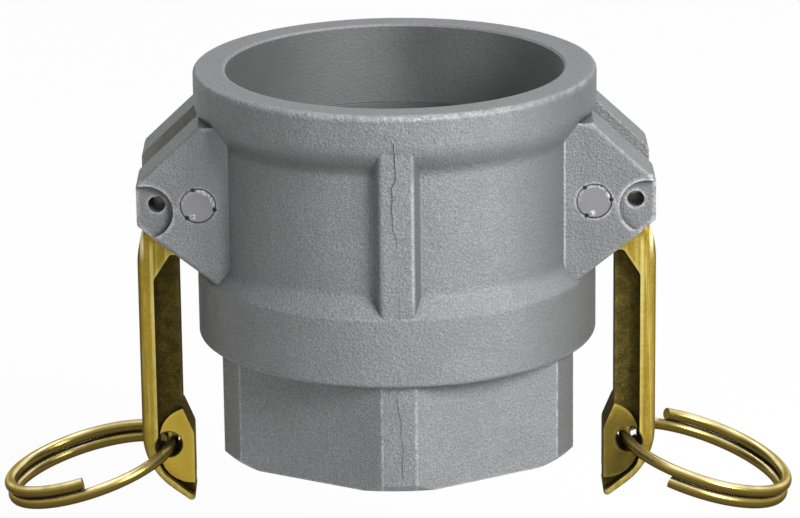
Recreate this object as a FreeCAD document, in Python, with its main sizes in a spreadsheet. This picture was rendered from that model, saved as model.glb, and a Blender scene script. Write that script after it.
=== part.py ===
import FreeCAD, Part

import math
import os
import re

import Sketcher
from FreeCAD import Placement, Rotation, Vector

"""Cam and groove coupler, 2 inch: a socket with two cam arms on one end, a pipe thread on the other.

Millimetres and degrees. The origin is the centre of the hub's threaded end face, +Z runs up the
axis to the socket's mouth, and the two cam arms stand at +X and -X.
"""

# Driving sizes: name, value or the sizes it follows from, what it measures
SIZES = [
    ("total_height", 72.6, "hub end face to socket mouth"),
    ("bore_radius", 31.9, "socket bore that takes the mating adapter"),
    ("bore_edge_chamfer", 0.4, "broken edge at the mouth"),
    ("guide_land_depth", 15.4, "mouth to the lower end of the bore's close-fitting band"),
    ("relief_depth", 0.5, "bore below that band, where the cams reach in, beyond the bore"),
    ("barrel_wall", 3.4, "wall between rim and seal housing"),
    ("barrel_radius", "bore_radius + barrel_wall", "outside of that wall"),
    ("rim_overhang", 2.7, "thick rim round the mouth, beyond the barrel"),
    ("rim_radius", "barrel_radius + rim_overhang", "outside of the rim"),
    ("rim_height", 6.9, "straight side of the rim"),
    ("rim_edge_round", 0.8, "rounding of the rim's top outer edge"),
    ("rim_slope_height", 4.1, "sloped underside of the rim"),
    ("rim_lower_round", 4.0, "rounding of the rim's lower edge"),
    ("neck_round", 2.5, "hollow rounding under the rim"),
    ("housing_overhang", 2.6, "ring that houses the gasket groove, beyond the barrel"),
    ("housing_radius", "barrel_radius + housing_overhang", "outside of that ring"),
    ("housing_height", 13.2, "straight side of that ring"),
    ("housing_slope", 3.4, "height of the sloped shoulder above it"),
    ("housing_edge_round", 0.8, "rounding of the ring's lower edge"),
    ("shoulder_edge_round", 1.2, "rounding of the shoulder's outer edge"),
    ("shoulder_hollow_round", 3.0, "hollow rounding from the shoulder to the barrel"),
    ("hub_height", 21.0, "hexagonal end"),
    ("hub_flat_distance", 33.0, "axis to a flat of the hexagon"),
    ("hub_corner_radius", 36.4, "turned corners of the hexagon"),
    ("hub_edge_chamfer", 1.5, "chamfer on the hub's end"),
    ("seat_floor", 2.6, "metal between the hexagon and the gasket's seat"),
    ("groove_depth", 1.5, "gasket groove, beyond the bore"),
    ("groove_radius", "bore_radius + groove_depth", "outside of the gasket groove"),
    ("groove_height", 6.6, "height of the gasket groove"),
    ("gasket_side_clearance", 0.2, "gasket to the groove's outside"),
    ("gasket_thickness", 6.35, "gasket, face to face"),
    ("gasket_inner_radius", 25.4, "hole of the gasket"),
    ("gasket_edge_round", 0.6, "rounding of the gasket's edges"),
    ("passage_radius", 25.8, "passage between the seat and the thread"),
    ("thread_radius", 29.8, "pipe thread, at its root"),
    ("thread_depth", 18.6, "length of the threaded bore"),
    ("rib_base_width", 8.6, "mould rib on the barrel, at the wall"),
    ("rib_face_width", 6.2, "mould rib, at its face"),
    ("rib_height", 2.4, "mould rib, out of the barrel"),
    ("rib_edge_round", 1.1, "rounding of the rib's outer edges"),
    ("rib_foot_round", 1.2, "hollow rounding at the rib's foot"),
    ("lug_face_distance", 16.7, "axis to the outer face of a hinge lug, along Y"),
    ("pin_offset", 1.55, "hinge pin, beyond the barrel"),
    ("pin_distance", "barrel_radius + pin_offset", "axis to a hinge pin"),
    ("lug_overhang", 11.55, "hinge pin to the lugs' outer edge, along X"),
    ("lug_reach", "pin_distance + lug_overhang", "axis to the lugs' outer edge, along X"),
    ("lug_top_width", 2.7, "level stretch of the lugs' top, outside the rim's corner"),
    ("lug_top_depth", 7.5, "mouth to the lugs' top"),
    ("lug_slope_depth", 18.4, "mouth to the outer end of the lugs' upper slope"),
    ("lug_lower_depth", 26.5, "mouth to the outer end of the lugs' lower slope"),
    ("lug_foot_depth", 38.6, "mouth to the lugs' lowest point"),
    ("lug_foot_inset", 2.3, "barrel's outside to the lugs' lowest point, inwards"),
    ("lug_edge_round", 0.9, "rounding of the lugs' outer edges"),
    ("slot_width", 11.8, "slot between the two lugs of a pair"),
    ("window_top_depth", 16.0, "mouth to the top of the cam window"),
    ("window_bottom_depth", 32.4, "mouth to the bottom of the cam window"),
    ("pin_depth", 22.37, "mouth to the hinge pins"),
    ("pin_radius", 3.16, "hinge pin"),
    ("pin_seat_clearance", 0.015, "pin in the lugs, radial"),
    ("pin_running_clearance", 0.06, "pin in the arm, radial"),
    ("pin_notch_width", 1.1, "width of each of the pin's grooves"),
    ("pin_notch_depth", 0.45, "depth of each of the pin's grooves"),
    ("pin_recess", 0.15, "pin ends below the lugs' faces"),
    ("left_pin_angle", 75.0, "first of the left pin's grooves"),
    ("right_pin_angle", 7.0, "first of the right pin's grooves"),
    ("lock_hole_radius", 1.6, "hole for a safety pin"),
    ("lock_hole_offset", 7.75, "hinge pin to safety pin, along X"),
    ("dish_radius", 5.1, "shallow dish round the safety pin's hole"),
    ("dish_depth", 1.3, "depth of the dish"),
    ("dish_offset", 9.75, "hinge pin to the dish's centre, along X"),
    ("dish_drop", 1.2, "hinge pin to the dish's centre, downwards"),
    ("arm_side_clearance", 0.3, "arm to each wall of its slot"),
    ("cam_radius", 6.6, "round of the cam lobe"),
    ("cam_eccentricity", 2.6, "hinge pin to the lobe's centre"),
    ("cam_angle", 30.0, "lobe's direction below the inward horizontal"),
    ("head_radius", 4.85, "arm's metal round the pin, away from the lobe"),
    ("arm_reach", 12.35, "pin to the arm's outer face, along X"),
    ("shoulder_drop", 3.6, "pin to the top of the arm's shoulder"),
    ("shoulder_reach", 8.6, "pin to the shoulder's upper corner, along X"),
    ("shoulder_bend_drop", 10.2, "pin to the corner that the shoulder's bend rounds off"),
    ("shoulder_bend_round", 18.0, "bend of the outer strip at the shoulder"),
    ("throat_drop", 9.0, "pin to the top of the arm's inner edge"),
    ("web_reach", 4.65, "pin to the arm's inner edge, along X"),
    ("web_thickness", 6.0, "thin web of the arm"),
    ("flange_thickness", 3.0, "thick strip along the arm's outer face"),
    ("recess_start", 12.8, "pin to the highest corner of the web's hollow"),
    ("recess_slope_end", 17.8, "pin to the lower end of the hollow's sloped top"),
    ("arm_length", 63.3, "pin to the arm's tip"),
    ("foot_height", 19.4, "foot, from the tip to where the inner edge flares out"),
    ("foot_start", "arm_length - foot_height", "pin to where the inner edge flares out"),
    ("foot_flare_height", 14.3, "tip to the end of the flare"),
    ("foot_flare_end", "arm_length - foot_flare_height", "pin to the end of the flare"),
    ("foot_reach", 2.5, "pin to the foot's inner face, along X"),
    ("foot_thickness", 8.2, "boss at the foot, round the ring's hole"),
    ("foot_boss_reach", 9.1, "pin to the boss's outer side, along X"),
    ("foot_boss_height", 4.2, "tip to the boss's lower end"),
    ("foot_boss_end", "arm_length - foot_boss_height", "pin to the boss's lower end"),
    ("foot_boss_round", 6.2, "round of the boss's top and lower end"),
    ("foot_bend_height", 7.4, "tip to the corner that the foot's bend rounds off"),
    ("foot_bend_drop", "arm_length - foot_bend_height", "pin to that corner"),
    ("foot_bend_round", 14.0, "bend of the outer strip round the foot"),
    ("lip_height", 1.7, "strip along the foot's underside, measured upright"),
    ("lip_bend_round", 5.0, "inner bend from the outer strip to that lip"),
    ("tip_round", 0.7, "rounding of the arm's tip"),
    ("arm_edge_round", 1.3, "rounding along the arm's outer face"),
    ("ring_hole_radius", 2.5, "ring's hole in the foot"),
    ("ring_hole_reach", 7.35, "hinge pin to the ring's hole, along X"),
    ("ring_hole_height", 12.0, "tip to the ring's hole"),
    ("ring_hole_drop", "arm_length - ring_hole_height", "hinge pin to the ring's hole, downwards"),
    ("ring_wire_radius", 1.12, "wire of the pull ring"),
    ("ring_outer_radius", 17.4, "outside of the pull ring"),
    ("ring_pitch", 2.36, "rise of the wire in one turn"),
    ("ring_turns", 1.65, "turns of the split ring"),
    ("ring_play", 0.55, "wire's centre to the hole's centre, towards the axis"),
    ("ring_sag", 0.45, "wire's centre to the hole's centre, downwards"),
    ("left_ring_droop_angle", 16.0, "slope of the left ring at rest, below level"),
    ("right_ring_droop_angle", 18.4, "slope of the right ring at rest, below level"),
    ("left_ring_lead_angle", 35.0, "left ring's rear end, round from the hole"),
]
NAMES = {name for name, value, meaning in SIZES}
ORIGIN_ROLES = {"XY": "XY_Plane", "XZ": "XZ_Plane", "YZ": "YZ_Plane"}
WIDE = 60.0         # beyond every outside surface, for cutting shapes
NEAR = 25.0         # inside every wall, for shapes that the bore trims

doc = FreeCAD.newDocument("coupler")
sizes = doc.addObject("Spreadsheet::Sheet", "sizes")
for row, (name, value, meaning) in enumerate(SIZES, start=1):
    sizes.set(f"A{row}", f"={value}")
    sizes.setAlias(f"A{row}", name)
    sizes.set(f"B{row}", meaning)
doc.recompute()


def bound(expression):
    """Write an expression on bare size names as one that reads the sheet."""
    def on_sheet(found):
        return f"sizes.{found[0]}" if found[0] in NAMES else found[0]
    return re.sub(r"[a-z_]{3,}", on_sheet, expression)


def value_of(expression):
    """The number that an expression on the sizes has now."""
    return float(sizes.evalExpression(bound(expression)))


def bind(item, prop, expression):
    """Drive a property of a feature from the sizes."""
    item.setExpression(prop, bound(expression))


def new_body(name):
    body = doc.addObject("PartDesign::Body", name)
    body.Label = name
    return body


def new_sketch(body, name, plane):
    """A sketch on one of the body's own origin planes."""
    sketch = body.newObject("Sketcher::SketchObject", name)
    for item in body.Origin.OriginFeatures:
        if item.Role == ORIGIN_ROLES[plane]:
            sketch.AttachmentSupport = [(item, "")]
    sketch.MapMode = "FlatFace"
    return sketch


def constrain(sketch, kind, where, expression):
    index = sketch.addConstraint(Sketcher.Constraint(kind, *where, value_of(expression)))
    bind(sketch, f"Constraints[{index}]", expression)


def fix_point(sketch, where, x, y):
    """Hold a point of the sketch at x, y from the sketch's origin."""
    constrain(sketch, "DistanceX", (-1, 1, *where), x)
    constrain(sketch, "DistanceY", (-1, 1, *where), y)


def add_circle(sketch, x, y, radius):
    centre = Vector(value_of(x), value_of(y), 0)
    index = sketch.addGeometry(Part.Circle(centre, Vector(0, 0, 1), value_of(radius)))
    fix_point(sketch, (index, 3), x, y)
    constrain(sketch, "Radius", (index,), radius)


def corner_arc(before, corner, after, radius):
    """The arc that rounds a corner, its two ends, and whether it runs from the first to the second."""
    back = (before - corner).normalize()
    ahead = (after - corner).normalize()
    half_angle = back.getAngle(ahead) / 2
    first = corner + back * (radius / math.tan(half_angle))
    last = corner + ahead * (radius / math.tan(half_angle))
    centre = corner + (back + ahead).normalize() * (radius / math.sin(half_angle))
    turns_left = (corner - before).cross(after - corner).z > 0
    start, end = (first, last) if turns_left else (last, first)
    angles = [math.atan2(point.y - centre.y, point.x - centre.x) for point in (start, end)]
    arc = Part.ArcOfCircle(Part.Circle(centre, Vector(0, 0, 1), radius), *angles)
    return arc, first, last, turns_left


def add_outline(sketch, corners):
    """A closed outline. A corner is (x, y) or (x, y, rounding), each an expression on the sizes."""
    points = [Vector(value_of(corner[0]), value_of(corner[1]), 0) for corner in corners]
    count = len(corners)
    starts, ends, arcs = list(points), list(points), {}
    for i, corner in enumerate(corners):
        if len(corner) == 3:
            arc, ends[i], starts[i], turns_left = corner_arc(
                points[i - 1], points[i], points[(i + 1) % count], value_of(corner[2]))
            arcs[i] = (sketch.addGeometry(arc), turns_left)
    lines = [sketch.addGeometry(Part.LineSegment(starts[i], ends[(i + 1) % count])) for i in range(count)]
    for i, corner in enumerate(corners):
        line_in, line_out = lines[i - 1], lines[i]
        if i not in arcs:
            sketch.addConstraint(Sketcher.Constraint("Coincident", line_in, 2, line_out, 1))
            fix_point(sketch, (line_out, 1), corner[0], corner[1])
            continue
        arc, turns_left = arcs[i]
        first, last = (1, 2) if turns_left else (2, 1)
        sketch.addConstraint(Sketcher.Constraint("Tangent", line_in, 2, arc, first))
        sketch.addConstraint(Sketcher.Constraint("Tangent", arc, last, line_out, 1))
        constrain(sketch, "Radius", (arc,), corner[2])
        mark = sketch.addGeometry(Part.Point(points[i]), True)
        fix_point(sketch, (mark, 1), corner[0], corner[1])
        sketch.addConstraint(Sketcher.Constraint("PointOnObject", mark, 1, line_in))
        sketch.addConstraint(Sketcher.Constraint("PointOnObject", mark, 1, line_out))


def mirrored(corners):
    """The same outline on the other side of the sketch's vertical axis."""
    return [(f"-({corner[0]})", *corner[1:]) for corner in reversed(corners)]


def revolve(body, kind, name, sketch):
    """Turn a sketch right round the sketch's vertical axis, as metal or as a cut."""
    feature = body.newObject(f"PartDesign::{kind}", name)
    feature.Profile = sketch
    feature.ReferenceAxis = (sketch, ["V_Axis"])
    feature.Angle = 360.0
    return finish(body, feature, kind)


def extrude(body, kind, name, sketch, length, both_ways=False, backwards=False):
    """Push a sketch out along its normal, as metal or as a cut."""
    feature = body.newObject(f"PartDesign::{kind}", name)
    feature.Profile = sketch
    feature.Midplane = both_ways
    feature.Reversed = backwards
    bind(feature, "Length", length)
    return finish(body, feature, kind)


def finish(body, feature, kind):
    """Recompute, and stop if the feature left the body's metal as it was."""
    before = feature.BaseFeature.Shape.Volume if feature.BaseFeature else 0.0
    doc.recompute()
    change = feature.Shape.Volume - before
    grows = kind in ("Pad", "Revolution", "AdditiveHelix")
    if feature.State != ["Up-to-date"] and "Invalid" in feature.State:
        raise RuntimeError(f"{feature.Name} failed")
    if (change <= 0) if grows else (change >= 0):
        raise RuntimeError(f"{feature.Name} changes the volume by {change:.2f} mm3")
    body.Tip = feature
    return feature


def dress(body, kind, name, size_name, expression, choose):
    """Round or chamfer the edges of the body's last feature that choose() picks."""
    base = body.Tip
    picked = [f"Edge{i}" for i, edge in enumerate(base.Shape.Edges, start=1) if choose(edge)]
    if not picked:
        raise RuntimeError(f"{name} finds no edge")
    feature = body.newObject(f"PartDesign::{kind}", name)
    feature.Base = (base, picked)
    bind(feature, size_name, expression)
    return finish(body, feature, kind)


def depth(expression):
    """A height, given as a depth below the mouth."""
    return f"(total_height - ({expression}))"


def near(value, target, tolerance=0.01):
    return abs(value - target) < tolerance


def edge_in_plane_y(edge, level):
    """Whether an edge lies in one of the two planes Y = level and Y = -level."""
    box = edge.BoundBox
    return near(abs(box.YMin), level) and near(box.YMin, box.YMax)


def make_coupler_body():
    """Cast body: rim, barrel, seal housing, hexagonal hub, two pairs of hinge lugs, two mould ribs."""
    body = new_body("coupler_body")
    add_outside(body)
    add_lugs(body)
    add_ribs(body)
    cut_hexagon(body)
    cut_slots_and_windows(body)
    cut_inside(body)
    cut_hinge_holes(body)
    return body


def add_outside(body):
    """The turned outside, from the hub's end to the mouth, still solid."""
    outside = new_sketch(body, "outside_profile", "XZ")
    housing_top = "hub_height + housing_height"
    add_outline(outside, [
        ("0", "0"),
        ("hub_corner_radius - hub_edge_chamfer", "0"),
        ("hub_corner_radius", "hub_edge_chamfer"),
        ("hub_corner_radius", "hub_height"),
        ("housing_radius", "hub_height", "housing_edge_round"),
        ("housing_radius", housing_top, "shoulder_edge_round"),
        ("barrel_radius", f"{housing_top} + housing_slope", "shoulder_hollow_round"),
        ("barrel_radius", depth("rim_height + rim_slope_height"), "neck_round"),
        ("rim_radius", depth("rim_height"), "rim_lower_round"),
        ("rim_radius", "total_height", "rim_edge_round"),
        ("0", "total_height"),
    ])
    revolve(body, "Revolution", "turned_outside", outside)


def add_lugs(body):
    """Two pairs of hinge lugs, first as two solid blocks."""
    lugs = new_sketch(body, "lug_profile", "XZ")
    outline = [
        (str(NEAR), depth("lug_foot_depth - 4")),
        ("barrel_radius - lug_foot_inset", depth("lug_foot_depth")),
        ("lug_reach", depth("lug_lower_depth"), "lug_edge_round"),
        ("lug_reach", depth("lug_slope_depth"), "lug_edge_round * 2"),
        ("rim_radius - 4 + lug_top_width", depth("lug_top_depth")),
        (str(NEAR), depth("lug_top_depth")),
    ]
    add_outline(lugs, outline)
    add_outline(lugs, mirrored(outline))
    extrude(body, "Pad", "lug_blocks", lugs, "2 * lug_face_distance", both_ways=True)
    face = value_of("lug_face_distance")
    free_from = value_of("rim_radius - 2")
    dress(body, "Fillet", "lug_edges", "Radius", "lug_edge_round",
          lambda edge: edge_in_plane_y(edge, face) and abs(edge.BoundBox.Center.x) > free_from)


def add_ribs(body):
    """A mould rib down the front and the back of the barrel, from rim to seal housing."""
    ribs = new_sketch(body, "rib_section", "XY")
    base, skirt = "rib_base_width / 2", "(rib_base_width / 2 + 2)"
    half = [
        (skirt, "barrel_radius - 2"),
        (skirt, f"sqrt(barrel_radius ^ 2 - {skirt} ^ 2) - 0.1"),
        (base, f"sqrt(barrel_radius ^ 2 - ({base}) ^ 2)", "rib_foot_round"),
        ("rib_face_width / 2", "barrel_radius + rib_height", "rib_edge_round"),
    ]
    section = half + mirrored(half)
    add_outline(ribs, section)
    add_outline(ribs, [(x, f"-({y})", *rounding) for x, y, *rounding in reversed(section)])
    bind(ribs, "AttachmentOffset.Base.z", "hub_height + housing_height / 2")
    length = "total_height - rim_height / 2 - hub_height - housing_height / 2"
    extrude(body, "Pad", "mould_ribs", ribs, length)


def cut_hexagon(body):
    """The hub's six flats, two of them facing the arms."""
    flats = new_sketch(body, "hexagon", "XY")
    add_circle(flats, "0", "0", "hub_corner_radius + 6")
    add_outline(flats, [(f"hub_flat_distance / cos(30) * cos({turn})",
                         f"hub_flat_distance / cos(30) * sin({turn})") for turn in range(30, 390, 60)])
    extrude(body, "Pocket", "hub_flats", flats, "hub_height", backwards=True)


def cut_slots_and_windows(body):
    """Between the lugs of a pair, a slot for the arm; in the wall behind it, a window for the cam."""
    slots = new_sketch(body, "slot_profile", "XZ")
    housing_top = "hub_height + housing_height"
    outline = [
        ("barrel_radius", f"{housing_top} + housing_slope", "shoulder_hollow_round"),
        ("housing_radius", housing_top),
        (str(WIDE), housing_top),
        (str(WIDE), depth("rim_height")),
        ("rim_radius", depth("rim_height")),
        ("barrel_radius", depth("rim_height + rim_slope_height"), "neck_round"),
    ]
    add_outline(slots, outline)
    add_outline(slots, mirrored(outline))
    extrude(body, "Pocket", "arm_slots", slots, "slot_width", both_ways=True)
    windows = new_sketch(body, "window_profile", "XZ")
    outline = [
        (str(NEAR), depth("window_bottom_depth")),
        ("barrel_radius + 1", depth("window_bottom_depth")),
        ("barrel_radius + 1", depth("window_top_depth")),
        (str(NEAR), depth("window_top_depth")),
    ]
    add_outline(windows, outline)
    add_outline(windows, mirrored(outline))
    extrude(body, "Pocket", "cam_windows", windows, "slot_width", both_ways=True)


def cut_inside(body):
    """Socket bore, gasket groove, passage and threaded bore, turned out in one cut."""
    inside = new_sketch(body, "inside_profile", "XZ")
    seat = "hub_height + seat_floor"
    add_outline(inside, [
        ("0", "0"),
        ("thread_radius", "0"),
        ("thread_radius", "thread_depth"),
        ("passage_radius", "thread_depth"),
        ("passage_radius", seat),
        ("groove_radius", seat),
        ("groove_radius", f"{seat} + groove_height"),
        ("bore_radius + relief_depth", f"{seat} + groove_height"),
        ("bore_radius + relief_depth", depth("guide_land_depth + relief_depth")),
        ("bore_radius", depth("guide_land_depth")),
        ("bore_radius", "total_height - bore_edge_chamfer"),
        ("bore_radius + bore_edge_chamfer", "total_height"),
        ("0", "total_height"),
    ])
    revolve(body, "Groove", "turned_inside", inside)


def cut_hinge_holes(body):
    """Through each pair of lugs: the hinge pin's hole, the safety pin's hole and its dish."""
    holes = new_sketch(body, "hinge_holes", "XZ")
    for side in ("", "-"):
        add_circle(holes, f"{side}pin_distance", depth("pin_depth"), "pin_radius + pin_seat_clearance")
        lock_hole = f"{side}(pin_distance + lock_hole_offset)"
        add_circle(holes, lock_hole, depth("pin_depth"), "lock_hole_radius")
    extrude(body, "Pocket", "hinge_and_lock_holes", holes, "2 * lug_face_distance + 2", both_ways=True)
    for name, direction in (("front", 1), ("back", -1)):
        dishes = new_sketch(body, f"{name}_dishes", "XZ")
        for side in ("", "-"):
            middle = f"{side}(pin_distance + dish_offset)"
            add_circle(dishes, middle, depth("pin_depth + dish_drop"), "dish_radius")
        bind(dishes, "AttachmentOffset.Base.z", f"{direction} * (lug_face_distance - dish_depth)")
        extrude(body, "Pocket", f"{name}_lock_dishes", dishes, "dish_depth * 2", backwards=direction > 0)


def make_gasket():
    """Flat rubber ring that lies on the seat, under the socket's bore."""
    body = new_body("gasket")
    section = new_sketch(body, "gasket_section", "XZ")
    outer = "groove_radius - gasket_side_clearance"
    add_outline(section, [
        ("gasket_inner_radius", "0", "gasket_edge_round"),
        (outer, "0", "gasket_edge_round"),
        (outer, "gasket_thickness", "gasket_edge_round"),
        ("gasket_inner_radius", "gasket_thickness", "gasket_edge_round"),
    ])
    revolve(body, "Revolution", "gasket_ring", section)
    bind(body, "Placement.Base.z", "hub_height + seat_floor")
    return body


def place_at_hinge(body, side):
    """Set a piece that is drawn about the hinge pin's centre at its own pin, facing out."""
    if side < 0:
        body.Placement = Placement(Vector(), Rotation(Vector(0, 0, 1), 180))
    bind(body, "Placement.Base.x", f"{side} * pin_distance")
    bind(body, "Placement.Base.z", depth("pin_depth"))


def make_hinge_pin(name, side, first_groove):
    """Grooved pin: a plain rod with three lengthways notches, driven through both lugs."""
    body = new_body(name)
    rod = new_sketch(body, f"{name}_section", "XZ")
    add_circle(rod, "0", "0", "pin_radius")
    length = "2 * (lug_face_distance - pin_recess)"
    extrude(body, "Pad", f"{name}_rod", rod, length, both_ways=True)
    notches = new_sketch(body, f"{name}_notches", "XZ")
    half, floor, top = "pin_notch_width / 2", "(pin_radius - pin_notch_depth)", "(pin_radius + 1)"
    for third in (0, 120, 240):
        turn = f"({first_groove} + {third})"
        corners = [(top, half), (floor, "0"), (top, f"-{half}")]
        add_outline(notches, [(f"{x} * cos({turn}) - ({y}) * sin({turn})",
                               f"{x} * sin({turn}) + ({y}) * cos({turn})") for x, y in corners])
    extrude(body, "Pocket", f"{name}_grooves", notches, f"{length} + 2", both_ways=True)
    place_at_hinge(body, side)
    return body


def make_cam_arm(name, side):
    """Cam arm, drawn about its hinge pin: lobe and head, then a handle with a strip, a web and a foot."""
    body = new_body(name)
    width = "(slot_width - 2 * arm_side_clearance)"
    handle = new_sketch(body, f"{name}_handle_profile", "XZ")
    add_outline(handle, [
        ("head_radius * 0.6", "head_radius * 0.6"),
        ("-head_radius * 0.3", "0"),
        ("0", "-cam_radius * 0.8"),
        ("web_reach * 0.25", "-cam_radius * 1.03"),
        ("web_reach", "-throat_drop", "2"),
        ("web_reach", "-foot_start", "2"),
        ("foot_reach", "-foot_flare_end", "3"),
        ("foot_reach", "-arm_length", "tip_round"),
        ("arm_reach", "-foot_bend_drop", "foot_bend_round"),
        ("arm_reach", "-shoulder_bend_drop", "shoulder_bend_round"),
        ("shoulder_reach", "-shoulder_drop", "arm_edge_round"),
        ("head_radius + 0.8", "-shoulder_drop", "1.2"),
    ])
    extrude(body, "Pad", f"{name}_handle", handle, width, both_ways=True)
    add_cam_head(body, name, width)
    cut_web(body, name, width)
    round_outer_edges(body, name, width)
    place_at_hinge(body, side)
    return body


def add_cam_head(body, name, width):
    """Eccentric lobe and head round the pin, then the pin's hole and the ring's hole."""
    lobe = ("-cam_eccentricity * cos(cam_angle)", "-cam_eccentricity * sin(cam_angle)")
    for part, (x, y), radius in (("lobe", lobe, "cam_radius"), ("head", ("0", "0"), "head_radius")):
        sketch = new_sketch(body, f"{name}_{part}_profile", "XZ")
        add_circle(sketch, x, y, radius)
        extrude(body, "Pad", f"{name}_{part}", sketch, width, both_ways=True)
    holes = new_sketch(body, f"{name}_holes", "XZ")
    add_circle(holes, "0", "0", "pin_radius + pin_running_clearance")
    add_circle(holes, "ring_hole_reach", "-ring_hole_drop", "ring_hole_radius")
    extrude(body, "Pocket", f"{name}_pin_and_ring_holes", holes, f"{width} + 2", both_ways=True)


def cut_web(body, name, width):
    """Hollow both sides of the handle down to a thin web, which runs on below the foot's boss."""
    flange = "(arm_reach - flange_thickness)"
    open_side = "(foot_reach - 4)"
    fall = "(arm_length - foot_bend_drop) / (arm_reach - foot_reach)"
    lip = [
        (flange, f"-foot_bend_drop - {fall} * flange_thickness + lip_height + 0.4", "lip_bend_round"),
        ("foot_reach", "-arm_length + lip_height"),
        (open_side, f"-arm_length + lip_height - 4 * {fall}"),
    ]
    web = [
        (open_side, "-recess_start"),
        ("web_reach + 1.5", "-recess_start", "0.8"),
        (flange, "-recess_slope_end", "1.5"),
        (flange, "-ring_hole_drop"),
        ("foot_boss_reach", "-ring_hole_drop"),
        ("foot_boss_reach", "-foot_start", "foot_boss_round"),
        (open_side, "-foot_start"),
    ]
    foot = [
        (open_side, "-foot_start + 3"),
        (flange, "-foot_start + 3"),
    ]
    under_boss = [
        (open_side, "-foot_boss_end"),
        ("foot_boss_reach", "-foot_boss_end", "foot_boss_round"),
        ("foot_boss_reach", "-ring_hole_drop - 0.5"),
        (flange, "-ring_hole_drop - 0.5"),
    ]
    for hollow, outline, left in (
            ("foot", foot + lip, "foot_thickness"),
            ("web", web, "web_thickness"),
            ("band", under_boss + lip, "web_thickness")):
        for face, direction in (("front", 1), ("back", -1)):
            sketch = new_sketch(body, f"{name}_{hollow}_{face}_profile", "XZ")
            add_outline(sketch, outline)
            bind(sketch, "AttachmentOffset.Base.z", f"{direction} * {left} / 2")
            extrude(body, "Pocket", f"{name}_{hollow}_{face}", sketch, width, backwards=direction > 0)


def round_outer_edges(body, name, width):
    """Round the long edges of the strip, from the shoulder round the foot to the tip."""
    level = value_of(f"{width} / 2")
    reach = value_of("arm_reach")
    dress(body, "Fillet", f"{name}_strip_edges", "Radius", "arm_edge_round",
          lambda edge: edge_in_plane_y(edge, level) and near(edge.BoundBox.XMax, reach, 0.05)
          and edge.Length > value_of("arm_edge_round") * 4)


def make_pull_ring(name, side, droop, lead):
    """Split ring: one wire wound for more than a turn and a half, hanging in the foot's hole.

    It is wound about +Z of the body with the middle of its gap at the hole. lead turns it in the
    hole, and the body is then tilted down by droop, outwards from its arm.
    """
    body = new_body(name)
    wire = new_sketch(body, f"{name}_wire", "XZ")
    mean_radius = "(ring_outer_radius - ring_wire_radius)"
    add_circle(wire, mean_radius, "0", "ring_wire_radius")
    coil = body.newObject("PartDesign::AdditiveHelix", f"{name}_coil")
    coil.Profile = wire
    coil.ReferenceAxis = (wire, ["V_Axis"])
    coil.Mode = 1
    bind(coil, "Pitch", "ring_pitch")
    bind(coil, "Turns", "ring_turns")
    finish(body, coil, "AdditiveHelix")
    middle = value_of("ring_turns * 180")
    rise = value_of("ring_pitch")
    through = middle + lead
    wound = Placement(Vector(0, 0, -rise * through / 360), Rotation(Vector(0, 0, 1), 180 - through))
    outward = Placement(Vector(value_of(mean_radius), 0, 0), Rotation())
    tilt = Placement(Vector(), Rotation(Vector(0, 1, 0), droop))
    face_out = Placement(Vector(), Rotation(Vector(0, 0, 1), 0 if side > 0 else 180))
    hole_x = value_of("pin_distance + ring_hole_reach - ring_play")
    hole_z = value_of("total_height - pin_depth - ring_hole_drop - ring_sag")
    hole = Placement(Vector(side * hole_x, 0, hole_z), Rotation())
    body.Placement = hole * face_out * tilt * outward * wound
    return body


def check(body):
    """Stop on a failed feature or a shape that isn't one good solid."""
    for item in body.Group + [body]:
        if "Invalid" in item.State or "Error" in item.State:
            raise RuntimeError(f"{item.Name} is {item.State}")
    shape = body.Shape
    if shape.isNull() or not shape.isValid() or len(shape.Solids) != 1:
        raise RuntimeError(f"{body.Label} is not one good solid")


subparts = [make_coupler_body(), make_gasket()]
left_lead = value_of("(2 - ring_turns) * 180 - left_ring_lead_angle")
for word, sign, lead in (("left", -1, left_lead), ("right", 1, 0.0)):
    subparts.append(make_hinge_pin(f"{word}_hinge_pin", sign, f"{word}_pin_angle"))
    subparts.append(make_cam_arm(f"{word}_cam_arm", sign))
    subparts.append(make_pull_ring(f"{word}_pull_ring", sign, value_of(f"{word}_ring_droop_angle"), lead))
doc.recompute()

os.makedirs("parts", exist_ok=True)
for subpart in subparts:
    check(subpart)
for subpart in subparts:
    subpart.Shape.exportStep(f"parts/{subpart.Label}.step")
    box = subpart.Shape.BoundBox
    print(f"{subpart.Label}: {subpart.Shape.Volume:.0f} mm3, x {box.XMin:.2f} {box.XMax:.2f}, "
          f"y {box.YMin:.2f} {box.YMax:.2f}, z {box.ZMin:.2f} {box.ZMax:.2f}")
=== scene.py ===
import math

import bpy
from bpy.props import FloatProperty, FloatVectorProperty, PointerProperty
from bpy.types import NodeSocket, Operator, Panel, PropertyGroup
from mathutils import Matrix, Vector
from mathutils.bvhtree import BVHTree


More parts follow.
